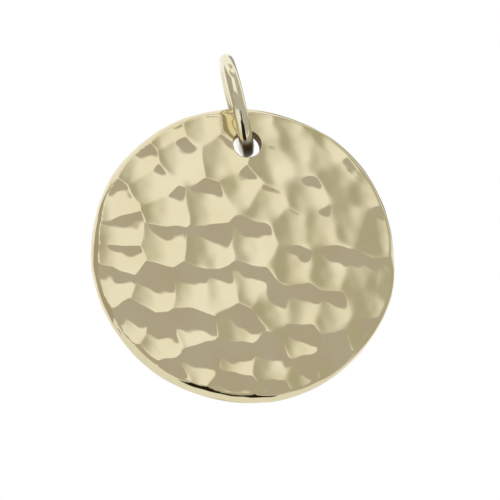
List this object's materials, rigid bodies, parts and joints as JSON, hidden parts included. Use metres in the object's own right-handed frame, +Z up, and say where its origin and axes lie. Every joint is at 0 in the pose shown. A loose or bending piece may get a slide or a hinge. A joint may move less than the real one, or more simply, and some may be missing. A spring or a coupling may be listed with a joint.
{
  "type": "disc pendant",
  "caption": "Round hammered gold disc pendant with a polished face of broad dimples, a drilled hole near the rim and a closed round jump ring that it swings on.",
  "frame": {"origin": "inner top of the jump ring, where a chain passes through it", "axes": "+Z up, away from the hanging disc; -Y out of the hammered front; +X to the right as the front is seen"},
  "size_m": [0.02, 0.007, 0.0237],
  "materials": {
    "ring_gold": "polished pale yellow gold, round wire",
    "disc_gold": "polished pale yellow gold, hammered into broad shallow dimples"
  },
  "bodies": {
    "jump_ring": {"jump_ring": "ring_gold"},
    "disc": {"disc": "disc_gold"}
  },
  "joints": [
    {"name": "disc_swing", "type": "hinge", "parent": "jump_ring", "child": "disc", "pos_m": [0.00128, -0.00079, -0.00534], "axis": [0, 1, 0], "range_deg": [-86, 56]}
  ]
}
